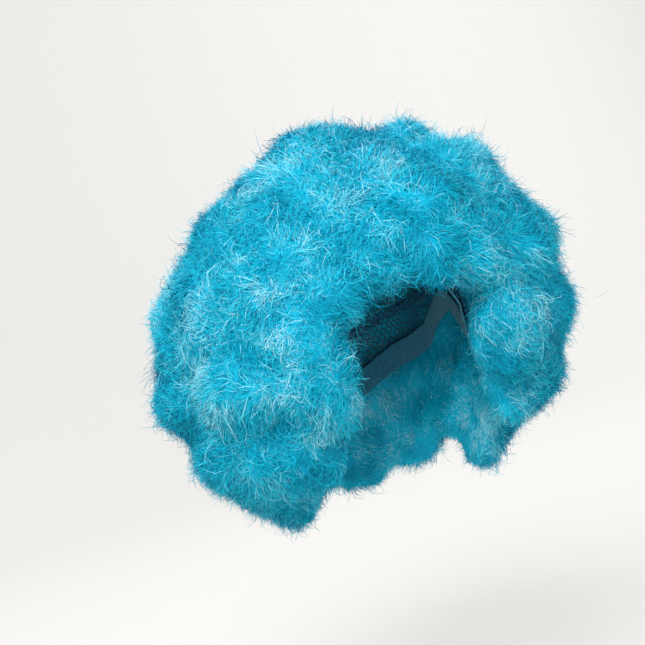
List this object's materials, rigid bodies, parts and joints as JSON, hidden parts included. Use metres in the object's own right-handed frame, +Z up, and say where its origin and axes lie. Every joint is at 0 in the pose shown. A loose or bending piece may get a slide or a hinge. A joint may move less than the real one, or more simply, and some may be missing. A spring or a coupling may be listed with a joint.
{
  "type": "afro wig",
  "caption": "Afro costume wig: a stretch net cap with an elastic edge band and rows of sewn weft, under a wide round mass of teased bright blue hair with an open face.",
  "frame": {"origin": "the point inside the cap that rests on the crown of the wearer's head", "axes": "+Z up, -Y forwards where the face looks out, +X towards the wearer's left"},
  "size_m": [0.3752, 0.3262, 0.3283],
  "materials": {
    "cap_net": "knitted elastic net, matt",
    "edge_band": "woven elastic, satin",
    "weft": "sewn fibre ends, satin",
    "hair": "teased synthetic fibre, soft sheen"
  },
  "bodies": {
    "root": {"cap_net": "cap_net", "edge_band": "edge_band", "weft_track_1": "weft", "weft_track_2": "weft", "weft_track_3": "weft", "weft_track_4": "weft", "weft_track_5": "weft", "weft_track_6": "weft", "crown_hair": "hair", "fringe_hair": "hair", "left_side_hair": "hair", "right_side_hair": "hair", "back_hair": "hair", "nape_hair": "hair"}
  },
  "joints": []
}
